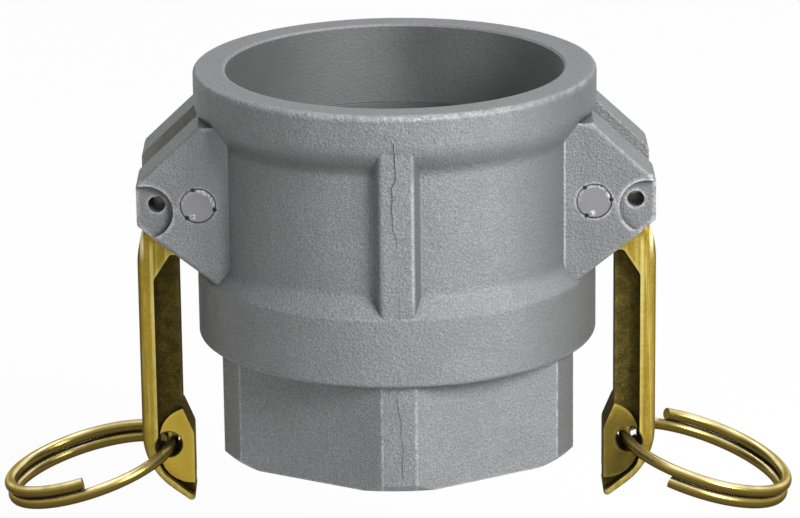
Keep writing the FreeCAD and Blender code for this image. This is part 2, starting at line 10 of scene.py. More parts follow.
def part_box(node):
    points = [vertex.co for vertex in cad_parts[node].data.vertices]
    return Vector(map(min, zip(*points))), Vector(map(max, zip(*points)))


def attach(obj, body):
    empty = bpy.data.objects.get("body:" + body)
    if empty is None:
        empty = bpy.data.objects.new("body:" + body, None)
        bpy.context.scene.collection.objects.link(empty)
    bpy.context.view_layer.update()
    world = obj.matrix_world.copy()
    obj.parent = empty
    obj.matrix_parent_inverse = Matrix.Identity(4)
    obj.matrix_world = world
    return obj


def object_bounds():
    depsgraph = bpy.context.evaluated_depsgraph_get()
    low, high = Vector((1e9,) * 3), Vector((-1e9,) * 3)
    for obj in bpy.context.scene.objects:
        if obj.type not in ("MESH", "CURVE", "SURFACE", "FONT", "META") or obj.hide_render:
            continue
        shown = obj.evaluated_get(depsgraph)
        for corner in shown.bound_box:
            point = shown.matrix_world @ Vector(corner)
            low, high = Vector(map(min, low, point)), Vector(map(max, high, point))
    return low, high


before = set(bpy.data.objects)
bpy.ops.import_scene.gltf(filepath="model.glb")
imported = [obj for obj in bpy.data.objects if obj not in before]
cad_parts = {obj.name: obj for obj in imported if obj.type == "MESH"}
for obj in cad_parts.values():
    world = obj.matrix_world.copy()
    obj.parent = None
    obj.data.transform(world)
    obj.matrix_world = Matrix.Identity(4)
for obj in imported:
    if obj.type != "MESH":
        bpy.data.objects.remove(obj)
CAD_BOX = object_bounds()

bl_info = {
    "name": "Cam and groove coupler",
    "version": (1, 0, 0),
    "blender": (4, 5, 0),
    "location": "View3D > Sidebar > Coupler",
    "description": "Finishes a cast coupler with brass cam arms and sets it in a pale studio",
    "category": "Object",
}

MM = 0.001
WHITE = (1.0, 1.0, 1.0, 1.0)

# Radii of the casting, from its axis
BORE_RADIUS = 31.9 * MM
RELIEF_RADIUS = 32.4 * MM
BARREL_RADIUS = 35.3 * MM
RIM_RADIUS = 38.0 * MM
HUB_FLAT = 33.0 * MM
HUB_CORNER = 36.4 * MM
# Heights on the casting, from the hub's end
HUB_HEIGHT = 21.0 * MM
SEAT_HEIGHT = 30.6 * MM
BAND_END = 56.95 * MM
NECK_HEIGHT = 61.6 * MM
MOUTH_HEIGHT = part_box("coupler_body")[1].z
# Distances from the casting's middle planes, across the front for the edges and towards it for the rest
RIB_EDGE = 2.9 * MM
LUG_INNER_EDGE = 31.35 * MM
SLOT_SIDE = 5.9 * MM
LUG_FACE = 16.7 * MM
# Degrees round the axis to the middle of a corner strip of the hub, and from there to the strip's edge
HUB_STRIP_TURN = 30.0
HUB_STRIP_EDGE = HUB_STRIP_TURN - math.degrees(math.acos(HUB_FLAT / HUB_CORNER))
# A hinge pin, and the dish round a safety pin's hole, seen from the front
PIN_LOW, PIN_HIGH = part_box("right_hinge_pin")
PIN_MIDDLE = (PIN_LOW + PIN_HIGH) / 2
PIN_RADIUS = (PIN_HIGH.x - PIN_LOW.x) / 2
DISH_RADIUS = 5.1 * MM
DISH_MIDDLE = (PIN_MIDDLE.x + 9.75 * MM, PIN_MIDDLE.z - 1.2 * MM)

# The arms: their outer face, half the widths of the strip and of the hollow, where the strip's bands
# fade into the shoulder, and the ring's hole
ARM_FACE = PIN_MIDDLE.x + 12.35 * MM
STRIP_SIDE = 4.9 * MM
HOLLOW_SIDE = 3.9 * MM
SHOULDER_LOW = 34 * MM
SHOULDER_HIGH = 42 * MM
RING_HOLE = (PIN_MIDDLE.x + 7.35 * MM, PIN_MIDDLE.z - 51.3 * MM)
RING_HOLE_EDGE = 2.9 * MM

# Where the mould's parting line runs on the front: offset from the middle and height, in mm
SEAM_PATH = (
    (-2.05, 68.6), (-0.95, 68.1), (-0.50, 67.6), (-0.42, 66.4), (-0.26, 65.3), (-0.30, 63.8),
    (-0.16, 62.2), (-0.22, 60.4), (-0.88, 59.2), (-0.78, 57.0), (-0.92, 55.1), (-0.80, 53.0),
    (-0.74, 51.2), (-0.30, 50.1), (0.02, 48.8), (0.10, 45.0), (0.15, 41.0), (0.32, 38.0),
    (0.40, 36.1), (0.35, 34.1), (0.30, 27.0), (0.10, 21.0), (-0.35, 19.0), (-0.15, 16.4),
    (0.40, 13.8), (0.30, 11.0), (0.72, 8.6), (0.45, 6.0), (0.60, 3.2), (0.5, 0.0))
# Limits of those offsets
SEAM_OFFSETS = (-2.1, 0.8)
# How plainly it shows, by height in mm
SEAM_STRENGTH = (
    (0.0, 0.0), (2.5, 0.0), (3.4, 0.75), (9.0, 0.45), (14.0, 0.7), (19.0, 0.5), (20.6, 0.0),
    (33.4, 0.0), (34.4, 0.55), (38.0, 0.35), (40.0, 0.06), (47.5, 0.10), (49.2, 0.75), (55.0, 0.8),
    (60.0, 1.0), (68.3, 0.9), (69.0, 0.0), (72.6, 0.0))
# A cut through its lips: across in half widths, and lift in heights
SEAM_SECTION = ((-1.0, -0.5), (-0.55, 1.0), (0.0, -0.2), (0.5, 0.75), (1.0, -0.5))
# Height from one such cut to the next, and how plainly the line shows where the lips begin
SEAM_STEP = 0.3 * MM
SEAM_FAINTEST = 0.2
# Cuts in one turn of the pipe thread's ridge
THREAD_STEPS = 96
# Where the left and the right hinge pin were staked, in degrees round the pin
STAKES = {-1: (107, 228, 346), 1: (124, 4, 242)}
# Where that raised burrs: degrees round the pin, and share of its radius
BURRS = {-1: ((245, 0.80), (62, 0.88), (20, 0.92)), 1: ((262, 0.78), (24, 0.90))}

FLOOR_GREY = (0.82, 0.82, 0.82, 1.0)
# Name, place, side and power of each lamp
LAMPS = (
    ("key_lamp", (0.59, -0.59, 0.56), 0.4, 16.5),
    ("fill_lamp", (-0.75, -0.55, 0.25), 0.6, 0.3),
    ("top_lamp", (-0.10, 0.30, 0.9), 0.7, 1.8))


def length(name, description, default):
    """A size in metres that a user can set."""
    return FloatProperty(name=name, description=description, default=default, unit="LENGTH", precision=5)


def share(name, description, default):
    """A part of one that a user can set."""
    return FloatProperty(
        name=name, description=description, default=default, min=0.0, max=1.0, subtype="FACTOR")


def angle(name, description, degrees):
    """An angle that a user can set."""
    return FloatProperty(
        name=name, description=description, default=math.radians(degrees), subtype="ANGLE")


def colour(name, description, default):
    """A colour that a user can set."""
    return FloatVectorProperty(
        name=name, description=description, default=default, size=3, min=0.0, max=1.0, subtype="COLOR")


class CouplerFinish(PropertyGroup):
    """Colours and surface sizes of the metals and the rubber."""
    cast_grey: colour("Cast grey", "Shot-blasted aluminium casting", (0.200, 0.204, 0.207))
    # Worn aluminium; the same colour is also laid as painted light on shaded slot walls and the bore's step,
    # and as painted highlight on edges
    cast_worn_and_lit: colour("Worn aluminium", "Aluminium rubbed bright on the casting's edges", (0.46, 0.47, 0.48))
    # Laid in the creases as dirt and painted shade
    cast_dirt_and_shade: colour("Casting dirt", "Dust and oxide held in the creases", (0.035, 0.036, 0.037))
    gap_black: colour("Gap black", "Shadow in the joint round a pin and in a crack", (0.006, 0.006, 0.006))
    bore_grey: colour("Bore grey", "Turned metal inside the socket", (0.115, 0.119, 0.119))
    brass: colour("Brass", "Tumbled brass of the arms", (0.355, 0.250, 0.033))
    # Polish on the arms, also laid as painted highlights and glints
    brass_polish_and_highlight: colour("Bright brass", "Brass polished by handling", (0.66, 0.54, 0.17))
    # Tarnish in the hollows, also laid as painted shade in creases and inside the rings' holes
    brass_tarnish_and_shade: colour("Dark brass", "Tarnish in the hollows of the arms", (0.050, 0.040, 0.010))
    wire: colour("Wire brass", "Drawn brass wire of the rings", (0.36, 0.265, 0.062))
    # A painted highlight: the streak along the wires and the sheen on the arms' shoulders
    wire_highlight: colour("Bright wire", "Polished streak along the wire's upper side", (0.90, 0.80, 0.46))
    # Painted shade on the wires' lower side and where their turns meet
    wire_shade: colour("Dark wire", "Tarnish along the wire's lower side", (0.088, 0.062, 0.014))
    pin_steel: colour("Pin steel", "Cut ends of the hinge pins", (0.225, 0.225, 0.231))
    rubber: colour("Rubber", "Black rubber of the gasket", (0.012, 0.012, 0.013))
    grain_size: length("Grain size", "Width of one dimple of the blasted surface", 0.27 * MM)
    grain_depth: length("Grain depth", "Depth of the blasted surface's dimples", 0.064 * MM)
    wear_width: length("Wear width", "How far the bright wear reaches from an edge", 0.55 * MM)
    # Also how far the painted shade in a crease reaches
    dirt_and_shade_width: length("Dirt width", "How far the dirt reaches out of a crease", 3.0 * MM)


class CouplerSizes(PropertyGroup):
    """Sizes of the details that are laid on the casting."""
    thread_pitch: length("Thread pitch", "Rise of the pipe thread in one turn", 2.309 * MM)
    thread_root: length("Thread root radius", "Threaded wall of the hub", 29.8 * MM)
    thread_crest: length("Thread crest radius", "Inner edge of the thread's ridge", 28.32 * MM)
    thread_depth: length("Threaded depth", "Threaded part of the hub's bore", 18.6 * MM)
    seam_width: length("Seam width", "Width over the lips of the mould's parting line", 0.50 * MM)
    seam_height: length("Seam height", "Height of the parting line's lips", 0.07 * MM)


class CouplerStage(PropertyGroup):
    """Camera, floor and lamps."""
    camera_distance: length("Camera distance", "Camera to the point it looks at", 0.800)
    camera_elevation: angle("Camera elevation", "Camera above the horizon", 16.9376)
    camera_azimuth: angle("Camera azimuth", "Camera round the coupler's axis", -0.1328)
    camera_roll: angle("Camera roll", "Turn of the picture", -0.6643)
    camera_lens: FloatProperty(name="Lens", description="Focal length in millimetres", default=188.7155)
    camera_aim_x: length("Aim across", "Point looked at, to the right of the axis", 0.0006237)
    camera_aim_z: length("Aim height", "Point looked at, above the hub's end", 0.03436)
    floor_size: length("Floor size", "Side of the floor", 12.0)
    floor_drop: length("Floor drop", "Room under the coupler, in which the rings swing", 24 * MM)
    floor_glow: share("Floor white", "How far the floor is lifted to plain white", 0.97)
    sky_strength: FloatProperty(name="Sky strength", description="Even light from all round", default=0.07)


def toned(colour, factor):
    """A colour made darker or lighter."""
    return [min(1.0, part * factor) for part in colour]


class Paint:
    """One procedural material, built node by node around a Principled shader."""

    # The Mix node's sockets when it mixes colours
    MIX_AMOUNT = 0
    MIX_UNDER = 6
    MIX_OVER = 7
    MIX_RESULT = 2
    # Rays that look for metal or air nearby
    NEAR_RAYS = 6

    def __init__(self, name, **constants):
        self.material = bpy.data.materials.new(name)
        self.material.use_nodes = True
        self.tree = self.material.node_tree
        self.shader = self.tree.nodes["Principled BSDF"]
        for socket, value in constants.items():
            self.shader.inputs[socket.replace("_", " ").title()].default_value = value
        self.place = self.node("ShaderNodeTexCoord").outputs["Object"]

    def node(self, kind, inputs=None, **settings):
        """A new node; its inputs are numbers or the outputs of other nodes."""
        made = self.tree.nodes.new(kind)
        for name, value in settings.items():
            setattr(made, name, value)
        for name, value in (inputs or {}).items():
            if isinstance(value, NodeSocket):
                self.tree.links.new(value, made.inputs[name])
            else:
                made.inputs[name].default_value = value
        return made

    def math(self, operation, first, second=0.0, third=0.0):
        """The result of one step of arithmetic."""
        made = self.node("ShaderNodeMath", {0: first, 1: second, 2: third}, operation=operation)
        return made.outputs[0]

    def times(self, first, *others):
        """The product of values."""
        for other in others:
            first = self.math("MULTIPLY", first, other)
        return first

    def size_of(self, value):
        """A value without its sign."""
        return self.math("ABSOLUTE", value)

    def away(self, value, place):
        """How far a value is from a place, on either side."""
        return self.size_of(self.math("SUBTRACT", value, place))

    def left_by(self, value):
        """What a value leaves of one."""
        return self.math("SUBTRACT", 1.0, value)

    def reach(self, first, second):
        """Distance from an axis, given the two offsets across it."""
        squares = [self.math("POWER", offset, 2.0) for offset in (first, second)]
        return self.math("SQRT", self.math("ADD", *squares))

    def distance(self, across, up, place):
        """Distance in a plane from a place in it."""
        return self.reach(self.math("SUBTRACT", across, place[0]), self.math("SUBTRACT", up, place[1]))

    def stretched(self, x=1.0, y=1.0, z=1.0):
        """The surface's place, with each axis stretched."""
        return self.node("ShaderNodeMapping", {"Vector": self.place, "Scale": (x, y, z)}).outputs[0]

    def noise(self, size, detail=2.0, rough=0.5, place=None, distortion=0.0):
        """Cloudy noise from 0 to 1 whose blobs are about size metres wide."""
        made = self.node("ShaderNodeTexNoise", {
            "Vector": place or self.place, "Scale": 1.0 / size, "Detail": detail,
            "Roughness": rough, "Distortion": distortion})
        return made.outputs["Fac"]

    def cells(self, size):
        """Distance to the nearest of scattered points, size metres apart."""
        made = self.node("ShaderNodeTexVoronoi", {"Vector": self.place, "Scale": 1.0 / size})
        return made.outputs["Distance"]

    def ramp(self, value, low, high, start=0.0, end=1.0):
        """Turns low..high of a value into start..end, smoothly, and holds it there outside."""
        made = self.node("ShaderNodeMapRange", {
            "Value": value, "From Min": low, "From Max": high, "To Min": start, "To Max": end},
            interpolation_type="SMOOTHSTEP")
        return made.outputs[0]

    def up_to(self, value, low, high, full=1.0):
        """Full below low, fading to nothing at high."""
        return self.ramp(value, low, high, full, 0.0)

    def blend(self, amount, first, second):
        """The second colour over the first, as strongly as the amount."""
        under, over = [colour if isinstance(colour, NodeSocket) else (*colour, 1.0)
                       for colour in (first, second)]
        made = self.node(
            "ShaderNodeMix", {self.MIX_AMOUNT: amount, self.MIX_UNDER: under, self.MIX_OVER: over},
            data_type="RGBA")
        return made.outputs[self.MIX_RESULT]

    def coat(self, base, over, *amounts):
        """A colour laid over another, as strongly as the product of the amounts."""
        return self.blend(self.times(*amounts), base, over)

    def shut_in(self, reach, inside):
        """0 on open faces, rising towards 1 where the metal, or with inside the air, is near."""
        made = self.node("ShaderNodeAmbientOcclusion", {"Distance": reach},
                         samples=self.NEAR_RAYS, inside=inside, only_local=True)
        return self.left_by(made.outputs["AO"])

    def edges(self, reach):
        """0 on open faces, rising towards 1 at an outside edge."""
        return self.shut_in(reach, True)

    def creases(self, reach):
        """0 on open faces, rising towards 1 in an inside corner."""
        return self.shut_in(reach, False)

    def axes(self, vector=None):
        """A vector's three numbers; the surface's place without one."""
        made = self.node("ShaderNodeSeparateXYZ", {"Vector": vector or self.place})
        return made.outputs["X"], made.outputs["Y"], made.outputs["Z"]

    def facing(self):
        """The surface's own direction, part by part: x, y, z."""
        return self.axes(self.node("ShaderNodeTexCoord").outputs["Normal"])

    def curve(self, value, points, low, high):
        """A value read off a line of (input, output) points, whose outputs lie between low and high."""
        far = points[-1][0]
        made = self.node("ShaderNodeFloatCurve", {"Value": self.math("DIVIDE", value, far)})
        line = made.mapping.curves[0]
        for _ in points[2:]:
            line.points.new(0.5, 0.5)
        for point, (at, out) in zip(line.points, points):
            point.location = (at / far, (out - low) / (high - low))
            point.handle_type = "VECTOR"
        made.mapping.update()
        scaled = self.node(
            "ShaderNodeMapRange", {"Value": made.outputs[0], "To Min": low, "To Max": high}, clamp=False)
        return scaled.outputs[0]

    def spots(self, across, up, places, size, soft):
        """1 within size of any of some places in a plane, fading out over soft."""
        nearest = self.distance(across, up, places[0])
        for place in places[1:]:
            nearest = self.math("MINIMUM", nearest, self.distance(across, up, place))
        return self.up_to(nearest, size, size + soft)

    def bump(self, height, depth, strength=1.0, under=None):
        """A normal that shows a height, times the depth, over the normal under it."""
        inputs = {"Height": height, "Distance": depth, "Strength": strength}
        if under is not None:
            inputs["Normal"] = under
        return self.node("ShaderNodeBump", inputs).outputs["Normal"]

    def finish(self, base, rough, normal):
        """The material, with its colour, roughness and normal linked to the shader."""
        for socket, value in (("Base Color", base), ("Roughness", rough), ("Normal", normal)):
            self.tree.links.new(value, self.shader.inputs[socket])
        return self.material


def dress(piece, material):
    """Give a piece one material."""
    piece.data.materials.clear()
    piece.data.materials.append(material)


def dress_both(part, material):
    """Give the left and the right piece of a kind one material."""
    for side in ("left", "right"):
        dress(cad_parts[f"{side}_{part}"], material)


def round_pin(side, degrees, radius):
    """A place on a hinge pin's end, across and up."""
    turn = math.radians(degrees)
    return side * PIN_MIDDLE.x + radius * math.cos(turn), PIN_MIDDLE.z + radius * math.sin(turn)


def stake_places():
    """Where both pins were staked."""
    radius = PIN_RADIUS + 0.05 * MM
    return [round_pin(side, degrees, radius) for side in (-1, 1) for degrees in STAKES[side]]


def burr_places():
    """Where the staking raised burrs on the pins' ends."""
    return [round_pin(side, degrees, part * PIN_RADIUS) for side in (-1, 1) for degrees, part in BURRS[side]]


class CastPaint(Paint):
    """The casting's paint, with the places that its stains, its wear and its painted light and shade keep
    to.
    """

    def __init__(self, finish):
        super().__init__("cast_aluminium", metallic=0.20)
        self.x, self.y, self.z = self.axes()
        self.out_x, self.out_y, self.out_z = self.facing()
        self.radius = self.reach(self.x, self.y)
        self.aside, self.ahead = self.size_of(self.x), self.size_of(self.y)
        self.speckle = self.ramp(self.noise(finish.grain_size, detail=3.0, rough=0.8), 0.38, 0.64)
        self.stain = self.ramp(self.noise(8 * MM, detail=5.0, rough=0.6), 0.35, 0.72)
        self.ragged = self.ramp(self.noise(1.7 * MM, detail=4.0, rough=0.7), 0.34, 0.56)
        self.crumbs = self.ramp(self.noise(0.34 * MM, detail=3.0, rough=0.8), 0.40, 0.60, 0.25, 1.0)
        self.level = self.ramp(self.out_z, 0.90, 0.98)
        self.frontal = self.size_of(self.out_y)
        self.in_slot = self.times(self.math("LESS_THAN", self.ahead, SLOT_SIDE + 0.4 * MM),
                                  self.ramp(self.radius, BARREL_RADIUS - 0.8 * MM, BARREL_RADIUS + 0.7 * MM))
        beyond = self.ramp(self.aside, LUG_INNER_EDGE - 0.55 * MM, LUG_INNER_EDGE - 0.15 * MM)
        self.on_face = self.times(self.ramp(self.frontal, 0.90, 0.98), beyond,
                                  self.math("GREATER_THAN", self.ahead, LUG_FACE - 0.7 * MM))
        self.on_lug = self.ramp(self.ahead, 12 * MM, 14 * MM)
        self.off_pin = self.distance(self.aside, self.z, (PIN_MIDDLE.x, PIN_MIDDLE.z))
        in_dish = self.up_to(self.distance(self.aside, self.z, DISH_MIDDLE),
                             DISH_RADIUS - 0.2 * MM, DISH_RADIUS + 0.4 * MM)
        self.dished = self.times(self.on_lug, in_dish)

    def leaning(self, left, right, far=30 * MM):
        """One amount on the left side, another on the right."""
        return self.ramp(self.x, -far, far, left, right)

    def hub_corner_turn(self):
        """Degrees round the axis from the middle of the nearest of the hub's corner strips."""
        turn = self.times(self.math("ARCTAN2", self.y, self.x), 180 / math.pi)
        turn = self.math("SUBTRACT", turn, HUB_STRIP_TURN)
        return self.size_of(self.math("WRAP", turn, HUB_STRIP_TURN, -HUB_STRIP_TURN))

    def seam(self, half_width):
        """1 along the parting line, on the front and, mirrored, on the back."""
        up = self.math("DIVIDE", self.z, MM)
        middle = self.curve(up, sorted((height, offset) for offset, height in SEAM_PATH), *SEAM_OFFSETS)
        strength = self.curve(up, SEAM_STRENGTH, 0.0, 1.0)
        across = self.math("DIVIDE", self.times(self.x, self.math("SIGN", self.y)), -MM)
        ragged = self.ramp(self.noise(0.5 * MM, detail=3.0), 0.3, 0.7, 0.55, 1.15)
        off = self.math("DIVIDE", self.away(across, middle), ragged)
        outside = self.math("GREATER_THAN", self.ahead, RELIEF_RADIUS + 0.2 * MM)
        return self.times(self.up_to(off, half_width * 0.35, half_width), outside, strength)


def cast_colour(paint, finish):
    """Grain, stains and bright specks, darker on level faces, and painted shade on what faces right."""
    grey = finish.cast_grey
    base = paint.blend(paint.speckle, toned(grey, 0.72), toned(grey, 1.28))
    base = paint.coat(base, toned(grey, 0.55), paint.level, 0.36)
    base = paint.coat(base, toned(grey, 0.68), paint.stain, 0.28)
    base = paint.coat(base, finish.cast_worn_and_lit, paint.up_to(paint.cells(1.7 * MM), 0.05, 0.085), 0.35)
    # Painted shade on faces that turn to the right
    base = paint.coat(base, toned(grey, 0.40), paint.ramp(paint.out_x, 0.46, 0.94, 0.0, 0.82))
    return paint.coat(base, toned(grey, 0.40), paint.ramp(paint.ahead, 15 * MM, 16 * MM),
                      paint.ramp(paint.aside, 33 * MM, 35 * MM, 0.0, 0.20))


def crease_dirt_and_shade(paint, finish, base):
    """Dirt and painted shade in creases, painted shade under the rim and in the lugs' dishes; less of both
    in the slots and on the lug faces, with painted light on the left slot walls and the left lug faces.
    """
    grey = finish.cast_grey
    kept_lighter = paint.math("MAXIMUM", paint.times(paint.in_slot, paint.leaning(0.55, 0.15)),
                           paint.times(paint.on_face, 0.55))
    dirt_and_shade_share = paint.left_by(kept_lighter)
    # Painted shade in the deeper creases and under the rim's overhang
    shade = paint.ramp(paint.creases(7 * MM), 0.16, 0.70, 0.0, 0.40)
    base = paint.coat(base, finish.cast_dirt_and_shade, shade, dirt_and_shade_share)
    # Dirt and painted shade in the tight creases; both are held back in the slots and on the lug faces
    dirt_and_shade = paint.ramp(paint.creases(finish.dirt_and_shade_width), 0.14, 0.80, 0.0, 0.75)
    base = paint.coat(base, finish.cast_dirt_and_shade, dirt_and_shade, dirt_and_shade_share)
    # Painted light on the shaded walls of the slots, mostly on the left
    slot_wall = paint.ramp(paint.frontal, 0.7, 0.9)
    base = paint.coat(base, finish.cast_worn_and_lit, paint.in_slot, slot_wall, paint.leaning(0.80, 0.0))
    # Painted light on the left lug faces beside the barrel, where its shadow falls
    left_face = paint.times(paint.on_face, paint.math("LESS_THAN", paint.x, 0.0))
    base = paint.coat(base, toned(grey, 1.6), left_face, paint.ramp(paint.x, -39 * MM, -31 * MM, 0.0, 0.50),
                      paint.ramp(paint.z, 46 * MM, 60 * MM))
    # Painted shade in the neck under the rim, darker on the left
    neck = paint.times(paint.ramp(paint.z, NECK_HEIGHT - 1.8 * MM, NECK_HEIGHT - 0.2 * MM),
                       paint.up_to(paint.z, NECK_HEIGHT + 0.4 * MM, NECK_HEIGHT + 3.8 * MM))
    between = paint.times(paint.ramp(paint.aside, 3.6 * MM, 4.4 * MM),
                          paint.up_to(paint.aside, 30.6 * MM, 31.2 * MM))
    base = paint.coat(base, toned(grey, 0.35), neck, between, paint.leaning(0.60, 0.40, 20 * MM))
    # Painted shade in the lugs' dishes, darker on the left
    return paint.coat(base, toned(grey, 0.45), paint.dished, paint.leaning(0.40, 0.10))


def worn_and_highlit_edges(paint, finish, base):
    """Metal rubbed bright on the edges of the rim, the lugs, the ribs and the hub, with painted highlights,
    stronger on the right.
    """
    worn = finish.cast_worn_and_lit
    untouched = paint.math("MAXIMUM", paint.up_to(paint.x, -34 * MM, -10 * MM, 0.75),
                           paint.ramp(paint.x, 12 * MM, 34 * MM, 0.0, 0.80))
    at_rim = paint.math("GREATER_THAN", paint.z, MOUTH_HEIGHT - 2 * MM)
    handled = paint.times(paint.left_by(paint.times(at_rim, untouched)), paint.crumbs)
    open_edge = paint.times(paint.ramp(paint.edges(finish.wear_width), 0.20, 0.42), paint.ragged)
    base = paint.coat(base, worn, open_edge, paint.ramp(paint.off_pin, 3.9 * MM, 4.3 * MM),
                      paint.left_by(paint.times(paint.dished, 0.72)), handled)
    # Wear and painted highlight on the lugs' edges, stronger on the right
    base = paint.coat(base, worn, paint.ramp(paint.edges(1.3 * MM), 0.16, 0.34), paint.ragged, paint.on_lug,
                      paint.ramp(paint.aside, 30 * MM, 31.5 * MM), paint.leaning(0.36, 0.80, 35 * MM))
    # A painted highlight along the inner edge of each lug face, stronger on the right
    inner_edge = paint.up_to(paint.away(paint.aside, LUG_INNER_EDGE), 0.10 * MM, 0.28 * MM)
    base = paint.coat(base, worn, inner_edge, paint.on_face, paint.crumbs, paint.leaning(0.22, 0.9))
    # Wear and painted highlight on the rib's edges, stronger on the right one
    rib_edge = paint.times(paint.up_to(paint.away(paint.aside, RIB_EDGE), 0.12 * MM, 0.42 * MM),
                           paint.math("GREATER_THAN", paint.ahead, BARREL_RADIUS + 0.2 * MM),
                           paint.ramp(paint.z, 36 * MM, 38 * MM), paint.up_to(paint.z, 59 * MM, 62 * MM))
    base = paint.coat(base, worn, rib_edge, paint.crumbs, paint.leaning(0.15, 0.5, 3 * MM))
    # Wear and painted highlight on the rim's outer top edge and on the edges of the hub's corner strips
    rim_edge = paint.times(paint.ramp(paint.radius, RIM_RADIUS - 1.3 * MM, RIM_RADIUS - 0.7 * MM),
                           paint.ramp(paint.z, MOUTH_HEIGHT - 1.3 * MM, MOUTH_HEIGHT - 0.7 * MM))
    hub_edge = paint.times(paint.up_to(paint.away(paint.hub_corner_turn(), HUB_STRIP_EDGE), 0.25, 0.60),
                           paint.up_to(paint.z, HUB_HEIGHT - 1.0 * MM, HUB_HEIGHT),
                           paint.math("GREATER_THAN", paint.radius, HUB_FLAT + 0.5 * MM))
    return paint.coat(base, worn, paint.math("ADD", rim_edge, hub_edge),
                      paint.ramp(paint.ragged, 0.0, 1.0, 0.10, 0.60), handled)


def turned_bore(paint, finish):
    """The bore's colour: turning marks, painted light and shade by which way the wall faces, lighter on the
    left wall, a painted highlight high up on the walls that face front and back, and a step where the
    close-fitting band ends, with painted light along it.
    """
    grey, x, z = finish.bore_grey, paint.out_x, paint.z
    marks = paint.noise(0.35 * MM, place=paint.stretched(0.03, 0.03, 1.0))
    base = paint.blend(paint.speckle, toned(grey, 0.92), toned(grey, 1.05))
    base = paint.coat(base, toned(grey, 0.6), paint.ramp(marks, 0.3, 0.7, 0.0, 0.12))
    base = paint.coat(base, toned(grey, 0.7), paint.stain, 0.30)
    # Painted light and shade by which way the wall faces
    base = paint.coat(base, toned(grey, 2.7), paint.ramp(x, -0.15, -0.90, 0.0, 0.90))
    base = paint.coat(base, toned(grey, 0.5), paint.ramp(x, 0.35, 0.95, 0.0, 0.45))
    # A painted highlight high up on the walls that face front and back
    base = paint.coat(base, toned(grey, 1.7), paint.ramp(x, -0.15, 0.10), paint.up_to(x, 0.20, 0.70),
                      paint.ramp(z, 46 * MM, 66 * MM, 0.0, 0.40))
    below_band = paint.up_to(z, BAND_END - 0.35 * MM, BAND_END - 0.15 * MM, 0.26)
    base = paint.coat(base, toned(grey, 0.35), below_band)
    # Painted light along the step where the close-fitting band ends
    step = paint.up_to(paint.away(z, BAND_END), 0.22 * MM, 0.34 * MM, 0.6)
    return paint.coat(base, finish.cast_worn_and_lit, step)


def blasted_grain(paint, size, depth, strength):
    """Normal of a surface dimpled by shot, with slower waves of the casting under it."""
    waves = paint.bump(paint.noise(6 * MM, detail=3.0), 0.14 * MM)
    dimples = paint.bump(paint.cells(size * 2.1), depth * 1.6, strength, waves)
    return paint.bump(paint.noise(size, detail=4.0, rough=0.75), depth * 2.2, strength, dimples)


def cast_aluminium(finish):
    """Shot-blasted casting: grain, stains, dirt and painted shade in creases, wear and painted highlights on
    edges, painted shadow in the pin joints, a smoother turned bore.
    """
    paint = CastPaint(finish)
    base = worn_and_highlit_edges(paint, finish, crease_dirt_and_shade(paint, finish, cast_colour(paint, finish)))
    # Painted shadow, black, in the joint round each hinge pin and in the stake pits beside it
    joint = paint.up_to(paint.off_pin, 3.28 * MM, 3.45 * MM)
    pits = paint.times(paint.on_lug, paint.spots(paint.x, paint.z, stake_places(), 0.28 * MM, 0.22 * MM))
    base = paint.coat(base, finish.gap_black, paint.math("MAXIMUM", joint, pits))
    seam = paint.seam(0.15)
    base = paint.coat(base, toned(finish.cast_grey, 0.10), seam, 0.85)
    in_hub, in_groove, in_bore = 30.6 * MM, 33.7 * MM, RELIEF_RADIUS + 0.15 * MM
    lower_wall = paint.ramp(paint.z, HUB_HEIGHT - 0.1 * MM, HUB_HEIGHT + 0.1 * MM, in_hub, in_groove)
    upper_wall = paint.ramp(paint.z, SEAT_HEIGHT - 0.4 * MM, SEAT_HEIGHT, in_groove, in_bore)
    wall = paint.math("MINIMUM", lower_wall, upper_wall)
    turned = paint.times(paint.math("LESS_THAN", paint.radius, wall),
                         paint.math("LESS_THAN", paint.z, MOUTH_HEIGHT - 0.02 * MM))
    base = paint.blend(turned, base, turned_bore(paint, finish))
    # Wear and painted highlight on the mouth's inner edge, stronger on the left
    lip = paint.times(paint.ramp(paint.radius, BORE_RADIUS - 0.05 * MM, BORE_RADIUS + 0.10 * MM),
                      paint.up_to(paint.radius, RELIEF_RADIUS - 0.02 * MM, RELIEF_RADIUS + 0.15 * MM),
                      paint.ramp(paint.z, MOUTH_HEIGHT - 0.6 * MM, MOUTH_HEIGHT - 0.4 * MM))
    base = paint.coat(base, finish.cast_worn_and_lit, lip, paint.crumbs,
                      paint.ramp(paint.x, 0.0, 24 * MM, 0.36, 0.10))
    rough = paint.ramp(paint.speckle, 0.0, 1.0, 0.62, 0.46)
    smooth = paint.math("MAXIMUM", turned, paint.level)
    strength = paint.ramp(smooth, 0.0, 1.0, 1.0, 0.4)
    normal = blasted_grain(paint, finish.grain_size, finish.grain_depth, strength)
    return paint.finish(base, rough, paint.bump(seam, -0.10 * MM, under=normal))


